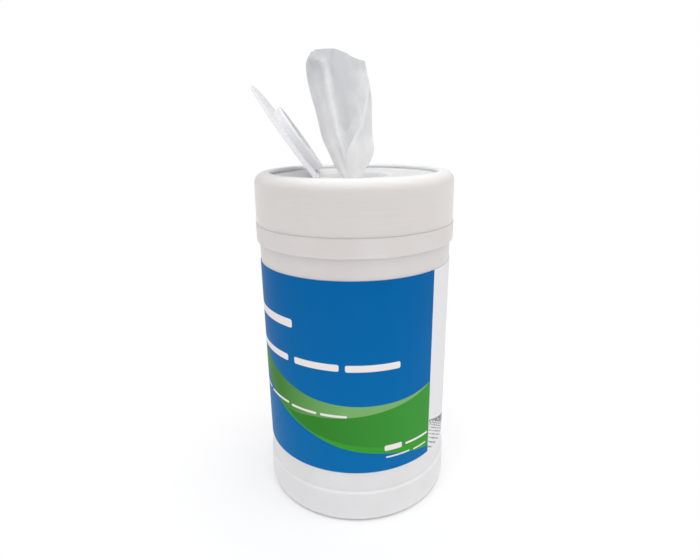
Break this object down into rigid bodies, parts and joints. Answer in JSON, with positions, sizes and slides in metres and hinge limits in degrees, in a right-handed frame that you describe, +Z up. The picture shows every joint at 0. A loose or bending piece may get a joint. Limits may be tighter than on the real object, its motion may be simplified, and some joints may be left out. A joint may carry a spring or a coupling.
{
  "type": "wet wipes canister",
  "caption": "Round plastic canister of disinfecting wipes with a push-on cap, an open hinged flap and the first wipe pulled up through the orifice.",
  "frame": {"origin": "centre of the base, in the plane of the foot ring", "axes": "+Z up along the canister's axis; the flap's hinge runs along Y and the flap opens towards -X; the label's front panel faces -Y"},
  "size_m": [0.1072, 0.1072, 0.244],
  "materials": {
    "bottle": "satin",
    "cap": "satin",
    "flap": "satin",
    "wipe": "nonwoven",
    "roll": "nonwoven",
    "label": "printed film",
    "blue": "printed film",
    "green": "printed film",
    "pale_green": "printed film",
    "lime": "printed film"
  },
  "bodies": {
    "bottle": {"bottle": "bottle", "wipe_roll": "roll", "label": "label", "label_blue_upper": "blue", "label_blue_lower": "blue", "label_green_start": "lime", "label_green_pale": "pale_green", "label_green_dark": "green", "label_green_lime": "lime"},
    "cap": {"cap": "cap", "pulled_wipe": "wipe"},
    "flap": {"flap": "flap"}
  },
  "joints": [
    {"name": "cap_lift", "type": "slide", "parent": "bottle", "child": "cap", "axis": [0, 0, 1], "range_m": [0, 0.03]},
    {"name": "flap_hinge", "type": "hinge", "parent": "cap", "child": "flap", "pos_m": [-0.0197, 0, 0.1823], "axis": [0, -1, 0], "range_deg": [-124.7, 35], "deforming": ["pulled_wipe"]}
  ]
}
